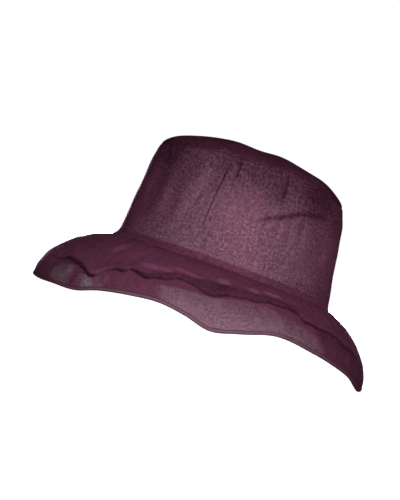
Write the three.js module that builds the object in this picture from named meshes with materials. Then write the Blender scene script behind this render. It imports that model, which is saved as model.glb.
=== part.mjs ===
// A sheer cloth hat with a domed crown and a soft drooping brim. Millimetres, +Z up.
// It stands on the edge of its brim. +X is the back of the hat and -X the front.
// The origin is on the ground, below the middle of the box round the hat.
// A direction round the hat is an angle in degrees: 0 is the back, 90 is +Y, 180 is the front.

import * as THREE from 'three';

// Cloth
const CLOTH = 1.0;
const SEAM_GAP = 0.3;
const SEAM_CLEAR = 0.45;
const STATIONS = 72;

// Small steps for working out a surface's directions, in degrees and as a share of its width
const TURN_STEP = 0.5;
const SHARE_STEP = 0.01;

// Finish of each piece
const FINISH = {
  crown_tip: { color: 0x4a2a38, roughness: 0.7 },
  crown_side: { color: 0x73505f, roughness: 0.7 },
  tip_seam: { color: 0x381c29, roughness: 0.75 },
  head_band: { color: 0x492737, roughness: 0.75 },
  brim_upper: { color: 0x5a2d41, roughness: 0.7 },
  brim_under: { color: 0x5b3444, roughness: 0.7 },
  brim_hem: { color: 0x472535, roughness: 0.75 },
};

// Head opening and crown. Heights are measured up from the head seam's lowest point.
const SEAM_ABOVE_GROUND = 56;
const HEAD_LENGTH = 195;
const HEAD_WIDTH = 165;
const CROWN_HEIGHT = 112.3;
const CROWN_LEAN_LENGTH = 0.121;
const CROWN_LEAN_WIDTH = 0.11;
const CROWN_SHIFT = 1.75;
const CROWN_LEAN_FORWARD = 0.0385;
const SHOULDER_START = 70;
const SHOULDER_ROLL = 0.0086;
const SHOULDER_SHIFT = 0.0034;
const FLARE_HEIGHT = 9;
const TIP_START_ANGLE = 5;
const TIP_SEAM_WIDTH = 6;
const TIP_SEAM_SET_BACK = 1.5;
const BAND_HEIGHT = 5;

// Brim
const BRIM_CLOTH_LENGTH = 88;
const BRIM_HALF_LENGTH = 151.2;
const BRIM_HALF_WIDTH = 146;
const BRIM_SHIFT = 5;
const BRIM_LEDGE = 1.0;
const CURL_RADIUS = 3.5;
const CURL_MOST = 165;
const HEM_WIDTH = 2.8;
const HEM_HEIGHT = 3.0;
const HEM_CORNER = 0.7;
const HEM_PRESSED = 0.5;
const HEM_GAP = 0.5;

// Height of the head seam above its lowest point, and how far the crown spreads to meet it
const HEAD_SEAM = [
  { angle: 0, height: 0, flare: 0.8 },
  { angle: 45, height: 2.2, flare: 1.2 },
  { angle: 90, height: 3.2, flare: 1.5 },
  { angle: 135, height: 2.2, flare: 2.6 },
  { angle: 180, height: 0, flare: 4 },
  { angle: 225, height: 3.8, flare: 2.6 },
  { angle: 270, height: 6.2, flare: 1.5 },
  { angle: 315, height: 4.2, flare: 1.2 },
];

// Height of the seam round the tip, which has one pinched pleat at 251 degrees
const TIP_SEAM = [
  { angle: 0, height: 88 },
  { angle: 20, height: 92 },
  { angle: 40, height: 98.5 },
  { angle: 60, height: 102 },
  { angle: 90, height: 102.5 },
  { angle: 115, height: 100 },
  { angle: 135, height: 95.5 },
  { angle: 155, height: 90.5 },
  { angle: 180, height: 88 },
  { angle: 205, height: 90.5 },
  { angle: 225, height: 95 },
  { angle: 240, height: 98.2 },
  { angle: 251, height: 102.6 },
  { angle: 262, height: 101.2 },
  { angle: 280, height: 102.5 },
  { angle: 300, height: 102 },
  { angle: 320, height: 98.5 },
  { angle: 340, height: 92 },
];

// Soft folds down the crown: depth inward, and the stretch of the side that each one takes
const CROWN_FOLDS = [
  { angle: 211, halfWidth: 9, depth: 1.5, low: 0.15, high: 0.95 },
  { angle: 228, halfWidth: 8, depth: 1.8, low: 0.1, high: 0.9 },
  { angle: 249, halfWidth: 9, depth: 2.2, low: 0.3, high: 1.1 },
  { angle: 290, halfWidth: 8, depth: 1.4, low: 0.55, high: 1.1 },
  { angle: 322, halfWidth: 10, depth: 1.3, low: 0.2, high: 0.8 },
  { angle: 28, halfWidth: 10, depth: 1.6, low: 0.1, high: 0.85 },
  { angle: 75, halfWidth: 9, depth: 1.8, low: 0.35, high: 1.1 },
  { angle: 118, halfWidth: 11, depth: 1.6, low: 0.1, high: 0.8 },
  { angle: 153, halfWidth: 9, depth: 1.4, low: 0.3, high: 1.0 },
];

// Height of the brim's lower edge above the ground, and the length of cloth curled up there
const BRIM_EDGE = [
  { angle: 0, height: 0, curl: 0 },
  { angle: 8, height: 0, curl: 0 },
  { angle: 14, height: 12, curl: 0 },
  { angle: 26, height: 22.5, curl: 0.5 },
  { angle: 40, height: 27.5, curl: 2 },
  { angle: 53, height: 31.5, curl: 4.5 },
  { angle: 66, height: 37, curl: 8 },
  { angle: 79, height: 33.5, curl: 12 },
  { angle: 87, height: 28, curl: 14.5 },
  { angle: 98, height: 26.5, curl: 14 },
  { angle: 107, height: 23, curl: 11 },
  { angle: 114, height: 20.5, curl: 8.5 },
  { angle: 121, height: 24.5, curl: 6 },
  { angle: 128, height: 19.5, curl: 3.5 },
  { angle: 136, height: 9, curl: 1.2 },
  { angle: 148, height: 15, curl: 0 },
  { angle: 158, height: 9.5, curl: 0 },
  { angle: 170, height: 0, curl: 0 },
  { angle: 180, height: 0, curl: 0 },
  { angle: 195, height: 0, curl: 0 },
  { angle: 212, height: 2.2, curl: 0 },
  { angle: 224, height: 4.2, curl: 0 },
  { angle: 234, height: 11.5, curl: 0 },
  { angle: 245, height: 17, curl: 0 },
  { angle: 255, height: 20, curl: 0 },
  { angle: 264, height: 17.5, curl: 0 },
  { angle: 273, height: 12.5, curl: 0 },
  { angle: 282, height: 18, curl: 0 },
  { angle: 294, height: 26, curl: 0 },
  { angle: 309, height: 22, curl: 0 },
  { angle: 320, height: 17, curl: 0 },
  { angle: 331, height: 11, curl: 0 },
  { angle: 341, height: 3, curl: 0 },
  { angle: 348, height: 0, curl: 0 },
];

// How much of the brim's fall is a straight slope, the rest being a quarter of an oval
const BRIM_FALL = [
  { angle: 0, straight: 0.36 },
  { angle: 45, straight: 0.3 },
  { angle: 90, straight: 0.15 },
  { angle: 180, straight: 0.3 },
  { angle: 270, straight: 0.15 },
  { angle: 315, straight: 0.3 },
];

// Where the rings of each cloth lie, as shares of the way across it. The tip's are counted
// from its seam inward, the others' from the head seam.
const SIDE_RINGS = [0, 0.12, 0.45, 0.72, 0.9, 1];
const TIP_RINGS = [0, 0.12, 0.3, 0.55, 0.8];
const BRIM_RINGS = [0, 0.14, 0.3, 0.46, 0.62, 0.76, 0.86, 0.91, 0.955, 1];

const radians = THREE.MathUtils.degToRad;

// A smooth closed curve through one column of a table, as a function of the angle
function roundTable(rows, column) {
  const slope = (before, after) => {
    const span = THREE.MathUtils.euclideanModulo(after.angle - before.angle, 360);
    return (after[column] - before[column]) / span;
  };
  const count = rows.length;
  return (angle) => {
    const turn = THREE.MathUtils.euclideanModulo(angle - rows[0].angle, 360) + rows[0].angle;
    let index = count - 1;
    while (rows[index].angle > turn) index -= 1;
    const start = rows[index];
    const end = rows[(index + 1) % count];
    const span = THREE.MathUtils.euclideanModulo(end.angle - start.angle, 360);
    const t = (turn - start.angle) / span;
    const flatStart = start[column] === end[column];
    const startSlope = flatStart ? 0 : slope(rows[(index + count - 1) % count], end);
    const endSlope = flatStart ? 0 : slope(start, rows[(index + 2) % count]);
    const rise = t * t * (3 - 2 * t);
    const lean = span * (t * (1 - t) * ((1 - t) * startSlope - t * endSlope));
    return Math.max(0, start[column] + (end[column] - start[column]) * rise + lean);
  };
}

const headSeamHeight = roundTable(HEAD_SEAM, 'height');
const headSeamFlare = roundTable(HEAD_SEAM, 'flare');
const tipSeamHeight = roundTable(TIP_SEAM, 'height');
const brimEdgeHeight = roundTable(BRIM_EDGE, 'height');
const brimCurl = roundTable(BRIM_EDGE, 'curl');
const brimStraight = roundTable(BRIM_FALL, 'straight');

// 1 in the middle of a fold and 0 from its edges outward
function bump(distance, halfWidth) {
  const x = Math.min(1, Math.abs(distance) / halfWidth);
  return (1 - x * x) ** 2;
}

function foldDepth(angle, share) {
  return CROWN_FOLDS.reduce((sum, fold) => {
    const off = THREE.MathUtils.euclideanModulo(angle - fold.angle + 180, 360) - 180;
    const middle = (fold.low + fold.high) / 2;
    const reach = (fold.high - fold.low) / 2;
    return sum + fold.depth * bump(off, fold.halfWidth) * bump(share - middle, reach);
  }, 0);
}

function ovalPoint(angle, halfLength, halfWidth, centreX, height) {
  const x = centreX + halfLength * Math.cos(radians(angle));
  const y = halfWidth * Math.sin(radians(angle));
  return new THREE.Vector3(x, y, height);
}

// Outer face of the crown at a height above the seam's lowest point, before any fold
function crownOutline(angle, height) {
  const pastShoulder = Math.max(0, height - SHOULDER_START) ** 2;
  const shoulder = SHOULDER_ROLL * pastShoulder;
  const flare = headSeamFlare(angle) * Math.max(0, 1 - height / FLARE_HEIGHT) ** 2;
  const halfLength = HEAD_LENGTH / 2 - CROWN_LEAN_LENGTH * height - shoulder + flare;
  const halfWidth = HEAD_WIDTH / 2 - CROWN_LEAN_WIDTH * height - shoulder + flare;
  const centreX = -CROWN_SHIFT - CROWN_LEAN_FORWARD * height - SHOULDER_SHIFT * pastShoulder;
  return ovalPoint(angle, halfLength, halfWidth, centreX, height + SEAM_ABOVE_GROUND);
}

// Level direction across a wall, pointing out of the hat
function outwardLevel(surface, angle, share) {
  const along = surface(angle + TURN_STEP, share).sub(surface(angle - TURN_STEP, share));
  return new THREE.Vector3(along.y, -along.x, 0).normalize();
}

// Direction square to a surface whose shares run from the hat's middle outward, pointing up
function outwardSquare(surface, angle, share) {
  const round = surface(angle + TURN_STEP, share).sub(surface(angle - TURN_STEP, share));
  const low = Math.max(0, share - SHARE_STEP);
  const high = Math.min(1, share + SHARE_STEP);
  const across = surface(angle, high).sub(surface(angle, low));
  return across.cross(round).normalize();
}

function sideSurface(angle, share) {
  const low = headSeamHeight(angle) + SEAM_GAP / 2;
  const high = tipSeamHeight(angle) - SEAM_GAP / 2;
  const height = THREE.MathUtils.lerp(low, high, share);
  const point = crownOutline(angle, height);
  const inward = outwardLevel((a) => crownOutline(a, height), angle, share).negate();
  return point.addScaledVector(inward, foldDepth(angle, share));
}

// The tip's dome. Share 0 is the middle of the tip and share 1 its seam.
function tipSurface(angle, share) {
  const seam = tipSeamHeight(angle) + SEAM_GAP / 2;
  const edge = crownOutline(angle, seam);
  const inward = outwardLevel((a) => crownOutline(a, seam), angle, share).negate();
  edge.addScaledVector(inward, foldDepth(angle, 1));
  const start = radians(TIP_START_ANGLE);
  const lift = THREE.MathUtils.lerp(Math.PI / 2, start, share);
  const reach = Math.cos(lift) / Math.cos(start);
  const rise = (Math.sin(lift) - Math.sin(start)) / (1 - Math.sin(start));
  const middle = new THREE.Vector3(-CROWN_SHIFT - CROWN_LEAN_FORWARD * CROWN_HEIGHT, 0, 0);
  const point = middle.lerp(edge, reach);
  point.z = THREE.MathUtils.lerp(edge.z, CROWN_HEIGHT + SEAM_ABOVE_GROUND, rise);
  return point;
}

// Middle of the double cloth of the brim. Share 0 is the head seam and share 1 the edge.
function brimSurface(angle, share) {
  const seamHeight = headSeamHeight(angle);
  const start = crownOutline(angle, seamHeight);
  start.addScaledVector(outwardLevel((a) => crownOutline(a, seamHeight), angle, 0), BRIM_LEDGE);
  start.z -= CLOTH + SEAM_GAP;
  const curl = brimCurl(angle);
  const turn = Math.min(curl / CURL_RADIUS, radians(CURL_MOST));
  const pulledIn = CURL_RADIUS * (1 - Math.cos(turn));
  const end = ovalPoint(angle, BRIM_HALF_LENGTH - pulledIn, BRIM_HALF_WIDTH - pulledIn, -BRIM_SHIFT, 0);
  end.z = brimEdgeHeight(angle) + CURL_RADIUS * Math.sin(Math.min(turn, Math.PI / 2));
  end.z += (HEM_HEIGHT + HEM_GAP - HEM_PRESSED) * Math.max(0, Math.cos(turn));
  const outward = end.clone().sub(start).setZ(0).normalize();
  const plainShare = 1 - curl / BRIM_CLOTH_LENGTH;
  const fall = Math.min(1, share / plainShare) * Math.PI / 2;
  const reach = Math.sin(fall);
  const drop = THREE.MathUtils.lerp(1 - Math.cos(fall), reach, brimStraight(angle));
  const point = new THREE.Vector3(
    THREE.MathUtils.lerp(start.x, end.x, reach),
    THREE.MathUtils.lerp(start.y, end.y, reach),
    THREE.MathUtils.lerp(start.z, end.z, drop),
  );
  const past = Math.max(0, share - plainShare) * BRIM_CLOTH_LENGTH;
  const bend = Math.min(past / CURL_RADIUS, radians(CURL_MOST));
  const straight = past - bend * CURL_RADIUS;
  point.addScaledVector(outward, CURL_RADIUS * (1 - Math.cos(bend)) + straight * Math.sin(bend));
  point.z -= CURL_RADIUS * Math.sin(bend) + straight * Math.cos(bend);
  return point;
}

function meshOf(name, positions, triangles) {
  const geometry = new THREE.BufferGeometry();
  const numbers = positions.flatMap((point) => [point.x, point.y, point.z]);
  geometry.setAttribute('position', new THREE.Float32BufferAttribute(numbers, 3));
  geometry.setIndex(triangles);
  geometry.computeVertexNormals();
  const material = new THREE.MeshStandardMaterial({ ...FINISH[name], metalness: 0 });
  const mesh = new THREE.Mesh(geometry, material);
  mesh.name = name;
  return mesh;
}

// A closed ring: one closed section at each station, joined to the next all the way round.
// Both faces of a wall are cut into triangles along the same diagonals, so they stay parallel.
function ringMesh(name, sectionAt) {
  const sections = [];
  for (let i = 0; i < STATIONS; i += 1) {
    sections.push(sectionAt((i * 360) / STATIONS));
  }
  const size = sections[0].length;
  const triangles = [];
  for (let i = 0; i < STATIONS; i += 1) {
    const here = i * size;
    const next = ((i + 1) % STATIONS) * size;
    for (let j = 0; j < size; j += 1) {
      const k = (j + 1) % size;
      if (j < size / 2) {
        triangles.push(here + j, next + j, next + k, here + j, next + k, here + k);
      } else {
        triangles.push(here + j, next + j, here + k, next + j, next + k, here + k);
      }
    }
  }
  return meshOf(name, sections.flat(), triangles);
}

// Section of a wall whose two faces lie at two distances from a surface
function wallSection(surface, direction, shares, angle, faceOut, faceIn) {
  const facePoint = (share, distance) => surface(angle, share)
    .addScaledVector(direction(surface, angle, share), distance);
  const outside = shares.map((share) => facePoint(share, faceOut));
  const inside = shares.map((share) => facePoint(share, faceIn)).reverse();
  return [...outside, ...inside];
}

function crownSide() {
  const section = (angle) => wallSection(sideSurface, outwardLevel, SIDE_RINGS, angle, 0, -CLOTH);
  return ringMesh('crown_side', section);
}

// The tip is a dome of cloth: rings from its seam inward, closed by one point in the middle
function crownTip() {
  const positions = [];
  const triangles = [];
  const rings = TIP_RINGS.map((share) => 1 - share);
  const addFace = (distance) => {
    const first = positions.length;
    for (const share of rings) {
      for (let i = 0; i < STATIONS; i += 1) {
        const angle = (i * 360) / STATIONS;
        const direction = share === 1 ? outwardLevel : outwardSquare;
        const way = direction(tipSurface, angle, share);
        positions.push(tipSurface(angle, share).addScaledVector(way, distance));
      }
    }
    const middle = tipSurface(0, 0);
    middle.z += distance;
    positions.push(middle);
    return first;
  };
  const outer = addFace(0);
  const inner = addFace(-CLOTH);
  const pole = rings.length * STATIONS;
  for (let i = 0; i < STATIONS; i += 1) {
    const next = (i + 1) % STATIONS;
    for (let ring = 0; ring < rings.length - 1; ring += 1) {
      const low = ring * STATIONS;
      const high = low + STATIONS;
      triangles.push(outer + low + i, outer + low + next, outer + high + next);
      triangles.push(outer + low + i, outer + high + next, outer + high + i);
      triangles.push(inner + low + i, inner + high + next, inner + low + next);
      triangles.push(inner + low + i, inner + high + i, inner + high + next);
    }
    const last = (rings.length - 1) * STATIONS;
    triangles.push(outer + last + i, outer + last + next, outer + pole);
    triangles.push(inner + last + i, inner + pole, inner + last + next);
    triangles.push(outer + i, inner + next, outer + next);
    triangles.push(outer + i, inner + i, inner + next);
  }
  return meshOf('crown_tip', positions, triangles);
}

// Turned-in edges of the seam round the tip, lying against the inside of the tip
function tipSeam() {
  const halfTip = HEAD_WIDTH / 2 - CROWN_LEAN_WIDTH * CROWN_HEIGHT;
  const shares = [1 - TIP_SEAM_WIDTH / halfTip, 1 - TIP_SEAM_SET_BACK / halfTip];
  const near = -CLOTH - SEAM_CLEAR;
  const section = (angle) => (
    wallSection(tipSurface, outwardSquare, shares, angle, near, near - CLOTH).reverse());
  return ringMesh('tip_seam', section);
}

// Band inside the foot of the crown, over the head seam
function headBand() {
  const bandSurface = (angle, share) => {
    const low = headSeamHeight(angle) + SEAM_GAP / 2;
    return crownOutline(angle, low + share * BAND_HEIGHT);
  };
  const near = -CLOTH - SEAM_GAP;
  const section = (angle) => (
    wallSection(bandSurface, outwardLevel, [0, 0.5, 1], angle, near, near - CLOTH));
  return ringMesh('head_band', section);
}

// One cloth of the brim, with a level ledge under the foot of the crown
function brimCloth(name, faceUp, faceDown) {
  const ledge = (angle, distance) => {
    const seamHeight = headSeamHeight(angle);
    const point = crownOutline(angle, seamHeight);
    const outward = outwardLevel((a) => crownOutline(a, seamHeight), angle, 0);
    point.addScaledVector(outward, -2 * (CLOTH + SEAM_GAP));
    point.z += distance - CLOTH - SEAM_GAP;
    return point;
  };
  const section = (angle) => {
    const wall = wallSection(brimSurface, outwardSquare, BRIM_RINGS, angle, faceUp, faceDown);
    return [ledge(angle, faceUp), ...wall, ledge(angle, faceDown)].reverse();
  };
  return ringMesh(name, section);
}

// Rolled hem that binds the brim's edge, flat below where the hat stands on it
function brimHem() {
  const section = (angle) => {
    const edge = brimSurface(angle, 1);
    const before = brimSurface(angle, 1 - SHARE_STEP);
    const onward = edge.clone().sub(before).normalize();
    const side = outwardSquare(brimSurface, angle, 1);
    const corners = [
      [HEM_WIDTH / 2, 0],
      [HEM_WIDTH / 2, HEM_HEIGHT - HEM_CORNER],
      [HEM_WIDTH / 2 - HEM_CORNER, HEM_HEIGHT],
      [HEM_CORNER - HEM_WIDTH / 2, HEM_HEIGHT],
      [-HEM_WIDTH / 2, HEM_HEIGHT - HEM_CORNER],
      [-HEM_WIDTH / 2, 0],
    ];
    return corners.map(([across, down]) => {
      const point = edge.clone().addScaledVector(side, across);
      point.addScaledVector(onward, down + HEM_GAP);
      point.z = Math.max(0, point.z);
      return point;
    }).reverse();
  };
  return ringMesh('brim_hem', section);
}

const hat = new THREE.Group();
hat.add(
  crownTip(),
  crownSide(),
  tipSeam(),
  headBand(),
  brimCloth('brim_upper', CLOTH + SEAM_GAP / 2, SEAM_GAP / 2),
  brimCloth('brim_under', -SEAM_GAP / 2, -CLOTH - SEAM_GAP / 2),
  brimHem(),
);
const middle = new THREE.Box3().setFromObject(hat).getCenter(new THREE.Vector3());
hat.position.set(-middle.x, -middle.y, 0);

export default hat;
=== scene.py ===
"""A sheer plum hat of crisp organza, empty, standing on the edge of its brim.

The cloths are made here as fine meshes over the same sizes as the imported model. Sizes are in
millimetres, up to the moment when a mesh is made. A direction round the hat is an angle in
degrees: 0 is the back, 90 the far side, 180 the front and 270 the near side.
"""
import math

import bpy
import numpy as np
from mathutils import Matrix, Vector


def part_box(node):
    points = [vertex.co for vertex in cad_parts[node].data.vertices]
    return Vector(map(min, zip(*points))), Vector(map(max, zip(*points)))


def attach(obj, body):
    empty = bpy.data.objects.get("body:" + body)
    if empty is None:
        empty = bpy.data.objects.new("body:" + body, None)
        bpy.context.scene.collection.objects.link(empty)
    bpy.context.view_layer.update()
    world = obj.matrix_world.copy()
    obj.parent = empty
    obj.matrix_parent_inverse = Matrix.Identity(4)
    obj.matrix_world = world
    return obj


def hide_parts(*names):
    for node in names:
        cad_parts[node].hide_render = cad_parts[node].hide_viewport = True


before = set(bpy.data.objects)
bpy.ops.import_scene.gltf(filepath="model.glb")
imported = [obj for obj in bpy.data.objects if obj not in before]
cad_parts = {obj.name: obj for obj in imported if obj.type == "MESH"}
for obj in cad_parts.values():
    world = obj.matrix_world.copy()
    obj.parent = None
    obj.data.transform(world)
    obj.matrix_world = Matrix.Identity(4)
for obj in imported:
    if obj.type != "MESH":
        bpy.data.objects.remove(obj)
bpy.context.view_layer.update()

MM = 0.001

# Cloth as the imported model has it, and as it is made here
CAD_CLOTH = 1.0
CAD_GAP = 0.3
ORGANZA = 0.3

# The crown's foot laps onto the brim and spreads there. A shade over it rises on the near side.
FOOT_LAP = 0.3
FOOT_FLARE = 0.8
FOOT_FLARE_HEIGHT = 0.9
FOOT_SHADE = 6.5
FOOT_SHADE_RISE = 9
FOOT_SHADE_ANGLE = 328
FOOT_SHADE_HALF_WIDTH = 45
FOOT_SHADE_SOFT = 1.5

# Head opening and crown. Heights are measured up from the head seam's lowest point.
SEAM_ABOVE_GROUND = 56
HEAD_LENGTH = 195
HEAD_WIDTH = 165
HEAD_RADIUS = (HEAD_LENGTH + HEAD_WIDTH) / 4
CROWN_HEIGHT = 112.3
CROWN_LEAN_LENGTH = 0.121
CROWN_LEAN_WIDTH = 0.11
CROWN_SHIFT = 1.75
CROWN_LEAN_FORWARD = 0.0385
SHOULDER_START = 70
SHOULDER_ROLL = 0.0086
SHOULDER_SHIFT = 0.0034
FLARE_HEIGHT = 9
TIP_START_ANGLE = 5
TIP_ALLOWANCE = 6
BAND_HEIGHT = 5

# Brim
BRIM_CLOTH_LENGTH = 88
BRIM_HALF_LENGTH = 151.2
BRIM_HALF_WIDTH = 146
BRIM_SHIFT = 5
BRIM_LEDGE = 1.0
BRIM_LAP = 2.6
BRIM_HALF_APART = 0.75
CURL_RADIUS = 3.5
CURL_MOST = 165
HEM_WIDTH = 2.8
HEM_HEIGHT = 3.0
HEM_PRESSED = 0.5
HEM_GAP = 0.5
HEM_LAP = 0.25

# Height of the head seam above its lowest point, and how far the crown spreads to meet it
HEAD_SEAM = [
    {"angle": 0, "height": 0, "flare": 0.8},
    {"angle": 45, "height": 2.2, "flare": 1.2},
    {"angle": 90, "height": 3.2, "flare": 1.5},
    {"angle": 135, "height": 2.2, "flare": 2.6},
    {"angle": 180, "height": 0, "flare": 4},
    {"angle": 225, "height": 3.8, "flare": 2.6},
    {"angle": 270, "height": 6.2, "flare": 1.5},
    {"angle": 315, "height": 4.2, "flare": 1.2},
]

# Height of the seam round the tip, which has one pinched pleat at 251 degrees
TIP_SEAM = [
    {"angle": 0, "height": 88},
    {"angle": 20, "height": 92},
    {"angle": 40, "height": 98.5},
    {"angle": 60, "height": 102},
    {"angle": 90, "height": 102.5},
    {"angle": 115, "height": 100},
    {"angle": 135, "height": 95.5},
    {"angle": 155, "height": 90.5},
    {"angle": 180, "height": 88},
    {"angle": 205, "height": 90.5},
    {"angle": 225, "height": 95},
    {"angle": 240, "height": 98.2},
    {"angle": 251, "height": 102.6},
    {"angle": 262, "height": 101.2},
    {"angle": 280, "height": 102.5},
    {"angle": 300, "height": 102},
    {"angle": 320, "height": 98.5},
    {"angle": 340, "height": 92},
]

# Soft folds down the crown: depth inward, and the stretch of the side that each one takes
CROWN_FOLDS = [
    {"angle": 211, "half_width": 9, "depth": 1.5, "low": 0.15, "high": 0.95},
    {"angle": 228, "half_width": 8, "depth": 1.8, "low": 0.1, "high": 0.9},
    {"angle": 249, "half_width": 9, "depth": 2.2, "low": 0.3, "high": 1.1},
    {"angle": 290, "half_width": 8, "depth": 1.4, "low": 0.55, "high": 1.1},
    {"angle": 322, "half_width": 10, "depth": 1.3, "low": 0.2, "high": 0.8},
    {"angle": 28, "half_width": 10, "depth": 1.6, "low": 0.1, "high": 0.85},
    {"angle": 75, "half_width": 9, "depth": 1.8, "low": 0.35, "high": 1.1},
    {"angle": 118, "half_width": 11, "depth": 1.6, "low": 0.1, "high": 0.8},
    {"angle": 153, "half_width": 9, "depth": 1.4, "low": 0.3, "high": 1.0},
]

# Sharp creases in the crown's side: a path of (angle, height) points, how wide and deep each
# is, how many times wider it is at its far end, and how much painted shade darkens it
CREASES = [
    {"path": [(256, 93), (254, 83), (252, 61), (252, 35)],
     "width": 1.3, "depth": 1.0, "widen": 0.6, "dark": 0.5},
    {"path": [(261, 101), (262, 92), (260.5, 80)],
     "width": 1.1, "depth": 1.2, "widen": 0.8, "dark": 1.3},
    {"path": [(294, 99), (291.5, 86), (289.5, 74)],
     "width": 1.1, "depth": 1.2, "widen": 1.0, "dark": 1.4},
    {"path": [(277, 51), (283, 57), (292, 63), (304, 71), (326, 76)],
     "width": 0.9, "depth": 1.2, "widen": 5.0, "dark": 1.3},
    {"path": [(245, 62), (242, 45)],
     "width": 2.0, "depth": 0.6, "widen": 1.0, "dark": 0.3},
    {"path": [(206, 90), (213, 76)],
     "width": 2.2, "depth": 0.8, "widen": 1.0, "dark": 0.5},
    {"path": [(64, 99), (69, 80)],
     "width": 1.2, "depth": 0.9, "widen": 1.0, "dark": 0.5},
    {"path": [(101, 100), (106, 84), (109, 62)],
     "width": 1.2, "depth": 1.0, "widen": 0.7, "dark": 0.5},
    {"path": [(24, 78), (44, 66), (58, 57)],
     "width": 1.1, "depth": 0.9, "widen": 2.5, "dark": 0.5},
]

CREASE_TAPER = 0.35
CREASE_DARK_EDGE = 1.5

# The raised lip beside a crease: its share of the depth, its place and width by the crease's own
LIP_SHARE = 0.4
LIP_PLACE = 2
LIP_WIDTH = 1.6

# Upright flutes where the cloth hangs below the long crease
FLUTES = [
    {"angle": 285, "height": 55},
    {"angle": 292, "height": 54},
    {"angle": 299, "height": 56},
    {"angle": 307, "height": 58},
    {"angle": 50, "height": 50},
    {"angle": 59, "height": 47},
]
FLUTE_DEPTH = 0.8
FLUTE_HALF_WIDTH = 2.6
FLUTE_HALF_LENGTH = 13

# Smooth dark places in the crown's side, where its cloths press together and painted shade darkens
# them
LAYERED_AND_SHADED = [
    {"angle": 318, "height": 89, "long": 20, "high": 17},
    {"angle": 212, "height": 84, "long": 16, "high": 24},
    {"angle": 215, "height": 50, "long": 27, "high": 38},
    {"angle": 35, "height": 86, "long": 20, "high": 20},
]

# A fold along the near side of the brim: its share of the way out, the share of the way that
# its face in painted shade takes above it, and how marked it is
BRIM_TUCK = [
    {"angle": 0, "share": 0.6, "face": 0, "mark": 0},
    {"angle": 196, "share": 0.72, "face": 0, "mark": 0},
    {"angle": 206, "share": 0.72, "face": 0, "mark": 0.5},
    {"angle": 212, "share": 0.69, "face": 0.03, "mark": 0.8},
    {"angle": 218, "share": 0.71, "face": 0.05, "mark": 0.8},
    {"angle": 224, "share": 0.77, "face": 0.04, "mark": 0.8},
    {"angle": 229, "share": 0.85, "face": 0.02, "mark": 1},
    {"angle": 233, "share": 0.75, "face": 0, "mark": 0.8},
    {"angle": 236, "share": 0.71, "face": 0.01, "mark": 0.9},
    {"angle": 239, "share": 0.725, "face": 0.02, "mark": 1},
    {"angle": 241, "share": 0.67, "face": 0.01, "mark": 0.9},
    {"angle": 244, "share": 0.70, "face": 0.03, "mark": 0.9},
    {"angle": 248, "share": 0.75, "face": 0.06, "mark": 1},
    {"angle": 251, "share": 0.71, "face": 0.06, "mark": 1},
    {"angle": 254, "share": 0.69, "face": 0.12, "mark": 0.9},
    {"angle": 257, "share": 0.61, "face": 0.08, "mark": 0.8},
    {"angle": 262, "share": 0.60, "face": 0.11, "mark": 0.8},
    {"angle": 267, "share": 0.63, "face": 0.21, "mark": 0.8},
    {"angle": 272, "share": 0.59, "face": 0.20, "mark": 1},
    {"angle": 276, "share": 0.53, "face": 0.15, "mark": 0.7},
    {"angle": 286, "share": 0.51, "face": 0.13, "mark": 0.8},
    {"angle": 295, "share": 0.49, "face": 0.13, "mark": 0.8},
    {"angle": 301, "share": 0.50, "face": 0.04, "mark": 1},
    {"angle": 304, "share": 0.59, "face": 0.02, "mark": 1},
    {"angle": 309, "share": 0.59, "face": 0.01, "mark": 1},
    {"angle": 319, "share": 0.565, "face": 0, "mark": 0.9},
    {"angle": 326, "share": 0.63, "face": 0, "mark": 0.8},
    {"angle": 336, "share": 0.63, "face": 0, "mark": 0.5},
    {"angle": 348, "share": 0.6, "face": 0, "mark": 0},
]

# The tuck's ridge and the groove below it, and how softly the painted shade on its face ends
TUCK_RIDGE = 2.0
TUCK_RIDGE_RUN = 3.5
TUCK_GROOVE = 0.9
TUCK_GROOVE_WIDTH = 0.9
TUCK_FACE_START = 0.8
TUCK_FACE_END = 1.6
TUCK_FACE_LEAST = 2

# Places in the brim where the cloth is stretched thin or lies single, with painted highlights:
# how long and high each is, how much thinner the cloth is there and how much painted light lifts it
THIN_AND_HIGHLIT_PLACES = [
    {"angle": 229.5, "share": 0.79, "long": 4.0, "high": 2.6, "thin": 0.6, "light": 0.5},
    {"angle": 235, "share": 0.90, "long": 2.0, "high": 7, "thin": 0.4, "light": 0.2},
    {"angle": 226, "share": 0.30, "long": 5.0, "high": 10, "thin": 0.2, "light": 0.3},
    {"angle": 246, "share": 0.53, "long": 7, "high": 5, "thin": 0.15, "light": 0.45},
    {"angle": 251, "share": 0.53, "long": 7, "high": 5, "thin": 0.15, "light": 0.4},
    {"angle": 259, "share": 0.45, "long": 14, "high": 3, "thin": 0.2, "light": 0.35},
    {"angle": 272, "share": 0.34, "long": 5, "high": 4, "thin": 0.15, "light": 0.5},
    {"angle": 284, "share": 0.33, "long": 5, "high": 3.5, "thin": 0.15, "light": 0.45},
    {"angle": 292, "share": 0.29, "long": 8, "high": 4, "thin": 0.15, "light": 0.5},
    {"angle": 322, "share": 0.30, "long": 2.0, "high": 13, "thin": 0.4, "light": 0.25},
]

# Broad places in the brim that painted shade darkens
SHADED_BRIM_PLACES = [
    {"angle": 330, "share": 0.3, "long": 32, "high": 0.6, "dark": 0.2},
    {"angle": 208, "share": 0.35, "long": 28, "high": 0.5, "dark": 0.17},
]

# The seams across the brim
BRIM_SEAM_ANGLES = (221, 41)
BRIM_SEAM_HALF_WIDTH = 2.6
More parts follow.
